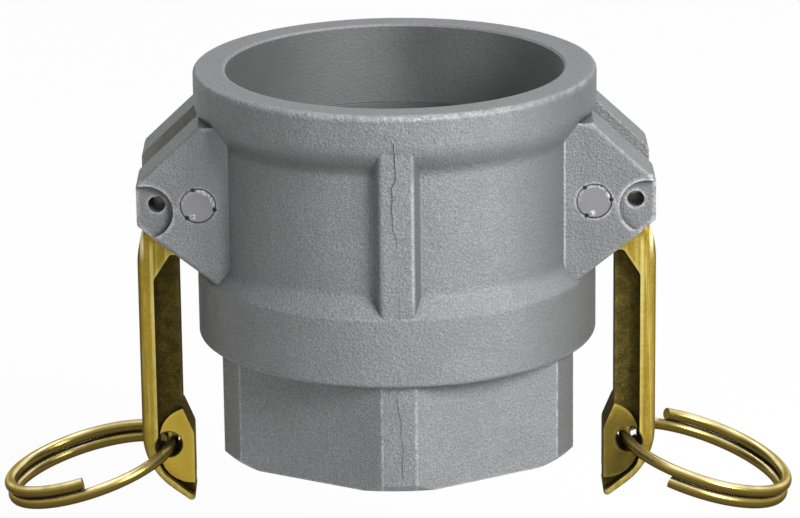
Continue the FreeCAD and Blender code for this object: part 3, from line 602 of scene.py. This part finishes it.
class ArmPaint(Paint):
    """The arms' paint, with the parts of an arm that its polish, its tarnish and its painted light and shade
    keep to.
    """

    def __init__(self):
        super().__init__("forged_brass", metallic=0.62, specular_tint=(0.42, 0.34, 0.13, 1.0))
        x, y, self.z = self.axes()
        out_x, out_y, _ = self.facing()
        self.on_left = self.math("LESS_THAN", x, 0.0)
        self.on_right = self.math("GREATER_THAN", x, 0.0)
        self.aside = self.size_of(y)
        self.inset = self.math("SUBTRACT", ARM_FACE, self.size_of(x))
        off_hole = self.distance(self.size_of(x), self.z, RING_HOLE)
        self.holed = self.up_to(off_hole, RING_HOLE_EDGE - 0.35 * MM, RING_HOLE_EDGE)
        # Faces that turn sideways, for painted shade
        self.side = self.ramp(self.size_of(out_x), 0.22, 0.88, 0.0, 0.86)
        self.flat = self.ramp(self.size_of(out_y), 0.30, 0.70)
        self.hollow = self.times(self.up_to(self.aside, HOLLOW_SIDE - 0.7 * MM, HOLLOW_SIDE), self.flat)
        self.strip = self.times(self.flat, self.ramp(self.aside, STRIP_SIDE, STRIP_SIDE + 0.4 * MM))
        self.cloud = self.ramp(self.noise(2.6 * MM, detail=6.0, rough=0.66), 0.32, 0.68)
        self.fine = self.ramp(self.noise(0.30 * MM, detail=4.0, rough=0.75), 0.3, 0.7)
        self.long_marks = self.noise(0.42 * MM, detail=3.0, rough=0.6, place=self.stretched(1.0, 1.0, 0.05))


def polished_strip(paint, finish):
    """Brass, banded lengthwise along the strip, blotched at the shoulder, with painted highlights along the
    strip and at the shoulder, and painted shade where it faces sideways.
    """
    brass, bright, z = finish.brass, finish.brass_polish_and_highlight, paint.z
    base = paint.blend(paint.fine, toned(brass, 0.82), toned(brass, 1.14))
    base = paint.coat(base, toned(brass, 0.62), paint.ramp(paint.cloud, 0.2, 1.0, 0.0, 0.35))
    bands = paint.noise(0.75 * MM, rough=0.6, place=paint.stretched(1.0, 0.3, 0.03))
    banded = paint.times(paint.strip, paint.ramp(z, SHOULDER_LOW, SHOULDER_HIGH, 1.0, 0.30))
    base = paint.coat(base, bright, banded, paint.ramp(bands, 0.52, 0.68, 0.0, 0.50))
    base = paint.coat(base, toned(brass, 0.55), banded, paint.up_to(bands, 0.32, 0.48, 0.45))
    blotch = paint.ramp(paint.noise(1.6 * MM, detail=4.0, rough=0.65, distortion=1.2), 0.40, 0.62)
    base = paint.coat(base, toned(brass, 0.50), paint.strip, blotch, 0.55,
                      paint.ramp(z, SHOULDER_LOW, SHOULDER_HIGH))
    # A painted highlight along the strip, inside its outer edge
    inner_highlight = paint.times(paint.ramp(paint.inset, 2.25 * MM, 2.5 * MM),
                             paint.up_to(paint.inset, 2.95 * MM, 3.1 * MM))
    base = paint.coat(base, bright, paint.strip, inner_highlight, paint.ramp(z, 6 * MM, 38 * MM, 0.25, 0.85),
                      paint.up_to(z, 38 * MM, 41 * MM))
    # Painted shade where the brass faces sideways
    base = paint.coat(base, toned(brass, 0.36), paint.side)
    # A painted highlight near the strip's outer edge at the shoulder
    sheen_highlight = paint.times(paint.ramp(paint.inset, 0.45 * MM, 0.75 * MM),
                        paint.up_to(paint.inset, 1.1 * MM, 1.5 * MM))
    return paint.coat(base, finish.wire_highlight, sheen_highlight, paint.ramp(z, 35 * MM, 40 * MM),
                      paint.up_to(z, 45 * MM, 49 * MM), 0.8)


def tarnished_and_shaded_brass(paint, finish, base):
    """Tarnish in the hollows and, with painted shade, in the creases; painted glints in the hollows; wear on
    the edges; the boss and foot round the ring's hole, and painted shade inside the hole.
    """
    dark, bright, z = finish.brass_tarnish_and_shade, finish.brass_polish_and_highlight, paint.z
    base = paint.coat(base, dark, paint.hollow, paint.ramp(paint.cloud, 0.0, 1.0, 0.84, 1.0))
    glints = paint.ramp(paint.noise(0.26 * MM, rough=0.8), 0.56, 0.68)
    base = paint.coat(base, toned(bright, 0.75), paint.hollow, glints,
                      paint.ramp(z, 14 * MM, 40 * MM, 0.36, 0.12))
    # Tarnish and painted shade in the creases
    base = paint.coat(base, dark, paint.ramp(paint.creases(2.2 * MM), 0.14, 0.75), 0.85)
    worn = paint.times(paint.ramp(paint.edges(1.0 * MM), 0.12, 0.38),
                       paint.ramp(paint.cloud, 0.0, 0.7, 1.0, 0.45))
    open_flat = paint.math("SUBTRACT", paint.flat, paint.times(paint.hollow, 0.9))
    base = paint.coat(base, bright, worn, open_flat, 0.85)
    scuffs = paint.times(paint.ramp(paint.long_marks, 0.58, 0.68),
                         paint.ramp(z, 20 * MM, 44 * MM, 0.16, 0.20))
    base = paint.coat(base, bright, scuffs, paint.left_by(paint.hollow))
    boss = paint.times(paint.flat, paint.ramp(paint.aside, HOLLOW_SIDE - 0.1 * MM, HOLLOW_SIDE + 0.1 * MM),
                       paint.up_to(paint.aside, HOLLOW_SIDE + 0.3 * MM, HOLLOW_SIDE + 0.6 * MM))
    base = paint.coat(base, toned(finish.brass, 1.8), boss, paint.on_left, 0.6)
    base = paint.coat(base, dark, paint.on_right, paint.up_to(z, 1 * MM, 9 * MM),
                      paint.ramp(paint.aside, STRIP_SIDE - 0.5 * MM, STRIP_SIDE + 0.3 * MM, 0.72, 0.12))
    # Painted shade inside the ring's hole
    return paint.coat(base, toned(dark, 1.3), paint.holed)


def forged_brass(finish):
    """Tumbled brass: polished on its edges and strip, with painted highlights and shade, tarnished and rough
    in the web and under the foot.
    """
    paint = ArmPaint()
    base = tarnished_and_shaded_brass(paint, finish, polished_strip(paint, finish))
    rough = paint.math("ADD", paint.ramp(paint.hollow, 0.0, 1.0, 0.27, 0.52), paint.times(paint.fine, 0.12))
    rough = paint.math("MAXIMUM", rough, paint.times(paint.math("MAXIMUM", paint.holed, paint.side), 0.8))
    normal = paint.bump(paint.noise(3.2 * MM, detail=4.0), 0.13 * MM)
    normal = paint.bump(paint.times(paint.cloud, paint.hollow), 0.10 * MM, under=normal)
    marked = paint.ramp(paint.z, SHOULDER_LOW, SHOULDER_HIGH, 1.0, 0.35)
    normal = paint.bump(paint.long_marks, 0.022 * MM, marked, normal)
    return paint.finish(base, rough, paint.bump(paint.fine, 0.030 * MM, under=normal))


def drawn_wire(finish):
    """Brass wire: a painted highlight along its upper side, painted olive shade below, painted shade where
    the turns meet.
    """
    paint = Paint("brass_wire", metallic=0.85, specular_tint=(0.40, 0.32, 0.12, 1.0))
    cloud = paint.ramp(paint.noise(5 * MM, detail=3.0), 0.32, 0.68)
    out_z = paint.facing()[2]
    base = paint.coat(finish.wire, toned(finish.wire, 0.62), cloud, 0.35)
    # Painted shade on the wire's lower half and underside
    base = paint.coat(base, finish.wire_shade, paint.up_to(out_z, 0.10, 0.60, 0.85))
    base = paint.coat(base, finish.wire_shade, paint.up_to(out_z, -0.55, 0.05, 0.92))
    # A painted highlight along the wire's upper side
    base = paint.coat(base, finish.wire_highlight, paint.ramp(out_z, 0.56, 0.70),
                      paint.ramp(out_z, 0.90, 0.99, 1.0, 0.20), paint.ramp(cloud, 0.0, 1.0, 0.95, 0.45))
    # Painted shade where the turns meet
    pinched = paint.ramp(paint.creases(1.0 * MM), 0.22, 0.62)
    base = paint.coat(base, toned(finish.wire_shade, 0.35), pinched, 0.92)
    rough = paint.math("MAXIMUM", paint.ramp(cloud, 0.0, 1.0, 0.20, 0.30), paint.times(pinched, 0.75))
    return paint.finish(base, rough, paint.bump(paint.noise(2.5 * MM), 0.012 * MM))


def cut_steel(finish):
    """Sheared ends of the hinge pins, hammered at the upper right and staked at three places, with painted
    highlights on the hammered edge and the burrs and painted shadow in the stake pits.
    """
    paint = Paint("cut_steel", metallic=0.35)
    x, _, z = paint.axes()
    fine = paint.noise(0.3 * MM, detail=4.0, rough=0.7)
    filed = paint.noise(0.35 * MM, place=paint.stretched(1.0, 0.1, 0.12))
    base = paint.blend(paint.ramp(fine, 0.3, 0.7), toned(finish.pin_steel, 0.84), finish.pin_steel)
    off_pin = paint.distance(paint.size_of(x), z, (PIN_MIDDLE.x, PIN_MIDDLE.z))
    to_right = paint.math("SUBTRACT", x, paint.times(paint.math("SIGN", x), PIN_MIDDLE.x))
    # Hammered metal round the pin's upper right edge, painted as a highlight
    hammered = paint.times(paint.ramp(off_pin, 2.3 * MM, 2.75 * MM),
                           paint.ramp(paint.noise(0.38 * MM, detail=3.0, rough=0.7), 0.44, 0.56),
                           paint.ramp(z, PIN_MIDDLE.z - 0.6 * MM, PIN_MIDDLE.z + 0.6 * MM),
                           paint.ramp(to_right, -1.6 * MM, 0.6 * MM, 0.30, 1.0), 0.85)
    crumbs = paint.ramp(paint.noise(0.36 * MM, detail=3.0, rough=0.7), 0.36, 0.58)
    burrs = paint.times(paint.spots(x, z, burr_places(), 0.26 * MM, 0.50 * MM), crumbs)
    # Painted highlight on the burrs and the hammered edge, which are also bumped up
    raised = paint.math("MAXIMUM", burrs, hammered)
    base = paint.coat(base, toned(finish.pin_steel, 3.0), raised)
    # Painted shadow in the stake pits
    base = paint.coat(base, finish.gap_black, paint.spots(x, z, stake_places(), 0.34 * MM, 0.22 * MM))
    rough = paint.ramp(fine, 0.3, 0.7, 0.38, 0.5)
    normal = paint.bump(filed, 0.03 * MM, under=paint.bump(fine, 0.02 * MM))
    return paint.finish(base, rough, paint.bump(raised, 0.16 * MM, under=normal))


def moulded_rubber(finish):
    """Black rubber with a faint bloom."""
    paint = Paint("moulded_rubber", metallic=0.0)
    bloom = paint.ramp(paint.noise(4 * MM, detail=4.0), 0.4, 0.75)
    base = paint.coat(finish.rubber, toned(finish.rubber, 3.5), bloom, 0.4)
    rough = paint.ramp(bloom, 0.0, 1.0, 0.5, 0.68)
    return paint.finish(base, rough, paint.bump(paint.noise(0.5 * MM, detail=3.0), 0.03 * MM))


def mesh_piece(name, points, faces, body):
    """A new flat-shaded piece of the casting's metal, that rides on one of the coupler's bodies."""
    mesh = bpy.data.meshes.new(name)
    mesh.from_pydata([tuple(point) for point in points], [], faces)
    mesh.validate()
    mesh.shade_flat()
    piece = bpy.data.objects.new(name, mesh)
    bpy.context.scene.collection.objects.link(piece)
    dress(piece, bpy.data.materials["cast_aluminium"])
    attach(piece, body)


def along(points, place):
    """Reads the second number off a line of (place, number) points."""
    for (low, first), (high, second) in zip(points, points[1:]):
        if low <= place <= high:
            return first + (second - first) * (place - low) / (high - low)
    return points[-1][1]


def strip_faces(rows, columns, first=0, closed_across=False, cap_ends=False):
    """Quads between rows of points, each row with the same number of points."""
    last = columns if closed_across else columns - 1
    faces = [(row * columns + i, row * columns + (i + 1) % columns,
              (row + 1) * columns + (i + 1) % columns, (row + 1) * columns + i)
             for row in range(first, first + rows - 1) for i in range(last)]
    if cap_ends:
        faces.append(tuple(reversed(range(columns))))
        faces.append(tuple((rows - 1) * columns + i for i in range(columns)))
    return faces


class COUPLER_OT_cast_body(Operator):
    """Finish the casting as shot-blasted aluminium"""
    bl_idname = "coupler.cast_body"
    bl_label = "Cast body"

    def execute(self, context):
        dress(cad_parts["coupler_body"], cast_aluminium(context.scene.coupler_finish))
        return {"FINISHED"}


class COUPLER_OT_pipe_thread(Operator):
    """Cut the pipe thread's ridge round the inside of the hub"""
    bl_idname = "coupler.pipe_thread"
    bl_label = "Pipe thread"

    def execute(self, context):
        sizes = context.scene.coupler_sizes
        pitch = sizes.thread_pitch
        margin = pitch * 0.5
        half_foot = pitch * 0.44
        half_crest = pitch * 0.07
        in_wall = sizes.thread_root + 0.15 * MM
        at_wall = sizes.thread_root + 0.05 * MM
        turns = (sizes.thread_depth - 2 * margin) / pitch
        rows = int(THREAD_STEPS * turns) + 1
        points = []
        for row in range(rows):
            turn = row / THREAD_STEPS
            full = max(0.0, min(1.0, 3 * turn, 3 * (turns - turn)))
            top = at_wall - full * (at_wall - sizes.thread_crest)
            middle = margin + turn * pitch
            x, y = math.cos(2 * math.pi * turn), math.sin(2 * math.pi * turn)
            for radius, rise in (
                    (in_wall, -half_foot), (top, -half_crest), (top, half_crest), (in_wall, half_foot)):
                points.append((radius * x, radius * y, middle + rise))
        faces = strip_faces(rows, 4, closed_across=True, cap_ends=True)
        mesh_piece("pipe_thread_ridge", points, faces, "coupler")
        return {"FINISHED"}


class COUPLER_OT_parting_lines(Operator):
    """Lay the mould's parting line down the front and the back of the casting"""
    bl_idname = "coupler.parting_lines"
    bl_label = "Parting lines"

    def execute(self, context):
        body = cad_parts["coupler_body"].data
        tree = BVHTree.FromPolygons([v.co for v in body.vertices], [p.vertices for p in body.polygons])
        for name, side in (("front_parting_line", -1), ("back_parting_line", 1)):
            self.lay_line(tree, context.scene.coupler_sizes, name, side)
        return {"FINISHED"}

    def lay_line(self, tree, sizes, name, side):
        """Two low lips beside the crack, laid on the surface that a ray from outside meets."""
        half = sizes.seam_width / 2
        path = sorted((height * MM, offset * MM) for offset, height in SEAM_PATH)
        plain = [(height * MM, strength) for height, strength in SEAM_STRENGTH]
        columns = len(SEAM_SECTION)
        rows, points, faces = 0, [], []
        for step in range(int(MOUTH_HEIGHT / SEAM_STEP)):
            height = step * SEAM_STEP
            strength = along(plain, height)
            if strength < SEAM_FAINTEST:
                faces += strip_faces(rows, columns, first=len(points) // columns - rows)
                rows = 0
                continue
            rows += 1
            for across, lift in SEAM_SECTION:
                start = Vector((-side * along(path, height) + across * half, 2 * side * RIM_RADIUS, height))
                hit, normal = tree.ray_cast(start, Vector((0, -side, 0)))[:2]
                points.append(hit + normal * (lift * sizes.seam_height * strength))
        mesh_piece(name, points, faces, "coupler")


class COUPLER_OT_gasket(Operator):
    """Finish the gasket as moulded rubber"""
    bl_idname = "coupler.gasket"
    bl_label = "Gasket"

    def execute(self, context):
        dress(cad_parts["gasket"], moulded_rubber(context.scene.coupler_finish))
        return {"FINISHED"}


class COUPLER_OT_hinge_pins(Operator):
    """Finish both hinge pins as cut steel"""
    bl_idname = "coupler.hinge_pins"
    bl_label = "Hinge pins"

    def execute(self, context):
        dress_both("hinge_pin", cut_steel(context.scene.coupler_finish))
        return {"FINISHED"}


class COUPLER_OT_cam_arms(Operator):
    """Finish both cam arms as forged brass"""
    bl_idname = "coupler.cam_arms"
    bl_label = "Cam arms"

    def execute(self, context):
        dress_both("cam_arm", forged_brass(context.scene.coupler_finish))
        return {"FINISHED"}


class COUPLER_OT_pull_rings(Operator):
    """Finish both pull rings as drawn brass wire"""
    bl_idname = "coupler.pull_rings"
    bl_label = "Pull rings"

    def execute(self, context):
        dress_both("pull_ring", drawn_wire(context.scene.coupler_finish))
        return {"FINISHED"}


def pale_surface(tree, light, white):
    """Choose the white shader for rays from the camera, from gloss and through glass, else the light."""
    path = tree.nodes.new("ShaderNodeLightPath")
    total = path.outputs["Is Camera Ray"]
    for ray in ("Is Glossy Ray", "Is Transmission Ray"):
        add = tree.nodes.new("ShaderNodeMath")
        add.operation, add.use_clamp = "ADD", True
        tree.links.new(total, add.inputs[0])
        tree.links.new(path.outputs[ray], add.inputs[1])
        total = add.outputs[0]
    mix = tree.nodes.new("ShaderNodeMixShader")
    tree.links.new(total, mix.inputs[0])
    tree.links.new(light.outputs[0], mix.inputs[1])
    tree.links.new(white.outputs[0], mix.inputs[2])
    return mix


class COUPLER_OT_stage(Operator):
    """Make the floor, the sky, the lamps and the camera"""
    bl_idname = "coupler.stage"
    bl_label = "Stage"

    def execute(self, context):
        stage = context.scene.coupler_stage
        self.make_sky(context.scene, stage)
        self.make_floor(context.scene, stage)
        self.make_lamps(context.scene)
        self.make_camera(context.scene, stage)
        context.scene.view_settings.view_transform = "Standard"
        return {"FINISHED"}

    def make_sky(self, scene, stage):
        """Even light from all round, seen as plain white."""
        world = bpy.data.worlds.new("studio")
        world.use_nodes = True
        tree = world.node_tree
        light = tree.nodes["Background"]
        light.inputs["Color"].default_value = WHITE
        light.inputs["Strength"].default_value = stage.sky_strength
        white = tree.nodes.new("ShaderNodeBackground")
        white.inputs["Color"].default_value = WHITE
        mix = pale_surface(tree, light, white)
        tree.links.new(mix.outputs[0], tree.nodes["World Output"].inputs["Surface"])
        scene.world = world

    def make_floor(self, scene, stage):
        """A matt floor, lifted towards white, low enough for the rings to swing over it."""
        level = CAD_BOX[0].z - stage.floor_drop
        half = stage.floor_size / 2
        mesh = bpy.data.meshes.new("floor")
        corners = [(-half, -half, level), (half, -half, level), (half, half, level), (-half, half, level)]
        mesh.from_pydata(corners, [], [(0, 1, 2, 3)])
        floor = bpy.data.objects.new("floor", mesh)
        scene.collection.objects.link(floor)
        material = bpy.data.materials.new("pale_floor")
        material.use_nodes = True
        tree = material.node_tree
        tree.nodes.remove(tree.nodes["Principled BSDF"])
        matt = tree.nodes.new("ShaderNodeBsdfDiffuse")
        matt.inputs["Color"].default_value = FLOOR_GREY
        glow = tree.nodes.new("ShaderNodeEmission")
        lifted = tree.nodes.new("ShaderNodeMixShader")
        lifted.inputs[0].default_value = stage.floor_glow
        tree.links.new(matt.outputs[0], lifted.inputs[1])
        tree.links.new(glow.outputs[0], lifted.inputs[2])
        mix = pale_surface(tree, matt, lifted)
        tree.links.new(mix.outputs[0], tree.nodes["Material Output"].inputs["Surface"])
        dress(floor, material)

    def make_lamps(self, scene):
        """Soft square lamps, aimed at the coupler's middle."""
        middle = Vector((0, 0, 0.035))
        for name, place, side, power in LAMPS:
            light = bpy.data.lights.new(name, "AREA")
            light.shape, light.size, light.energy = "SQUARE", side, power
            lamp = bpy.data.objects.new(name, light)
            scene.collection.objects.link(lamp)
            lamp.location = place
            lamp.rotation_mode = "QUATERNION"
            lamp.rotation_quaternion = (middle - Vector(place)).to_track_quat("-Z", "Y")

    def make_camera(self, scene, stage):
        """Stand the camera back from its aim, then turn the picture by the roll."""
        azimuth, elevation = stage.camera_azimuth, stage.camera_elevation
        back = Vector((math.sin(azimuth) * math.cos(elevation),
                       -math.cos(azimuth) * math.cos(elevation), math.sin(elevation)))
        aim = Vector((stage.camera_aim_x, 0.0, stage.camera_aim_z))
        right = Vector((0, 0, 1)).cross(back).normalized()
        up = back.cross(right)
        turn = Matrix.Rotation(stage.camera_roll, 3, back)
        axes = Matrix((turn @ right, turn @ up, back)).transposed()
        data = bpy.data.cameras.new("camera")
        data.lens = stage.camera_lens
        data.clip_start, data.clip_end = 0.01, 50.0
        camera = bpy.data.objects.new("camera", data)
        scene.collection.objects.link(camera)
        camera.matrix_world = Matrix.Translation(aim + back * stage.camera_distance) @ axes.to_4x4()
        scene.camera = camera


class COUPLER_PT_panel(Panel):
    """Lists the coupler's pieces and settings"""
    bl_label = "Coupler"
    bl_idname = "COUPLER_PT_panel"
    bl_space_type = "VIEW_3D"
    bl_region_type = "UI"
    bl_category = "Coupler"

    def draw(self, context):
        for operator in OPERATORS:
            self.layout.operator(operator.bl_idname)
        for group_name in GROUPS:
            group = getattr(context.scene, group_name)
            box = self.layout.box()
            for name in group.bl_rna.properties.keys():
                if name not in ("rna_type", "name"):
                    box.prop(group, name)


GROUPS = {"coupler_finish": CouplerFinish, "coupler_sizes": CouplerSizes, "coupler_stage": CouplerStage}
OPERATORS = (
    COUPLER_OT_cast_body,
    COUPLER_OT_pipe_thread,
    COUPLER_OT_parting_lines,
    COUPLER_OT_gasket,
    COUPLER_OT_hinge_pins,
    COUPLER_OT_cam_arms,
    COUPLER_OT_pull_rings,
    COUPLER_OT_stage,
)


def register():
    """Make the classes known, and hang each group of settings on the scene."""
    for item in (*GROUPS.values(), *OPERATORS, COUPLER_PT_panel):
        bpy.utils.register_class(item)
    for name, group in GROUPS.items():
        setattr(bpy.types.Scene, name, PointerProperty(type=group))


def unregister():
    """Undo what register does."""
    for name in GROUPS:
        delattr(bpy.types.Scene, name)
    for item in reversed((*GROUPS.values(), *OPERATORS, COUPLER_PT_panel)):
        bpy.utils.unregister_class(item)


def main():
    """Build everything in order."""
    register()
    bpy.ops.coupler.cast_body()
    bpy.ops.coupler.pipe_thread()
    bpy.ops.coupler.parting_lines()
    bpy.ops.coupler.gasket()
    bpy.ops.coupler.hinge_pins()
    bpy.ops.coupler.cam_arms()
    bpy.ops.coupler.pull_rings()
    bpy.ops.coupler.stage()


if __name__ == "__main__":
    main()
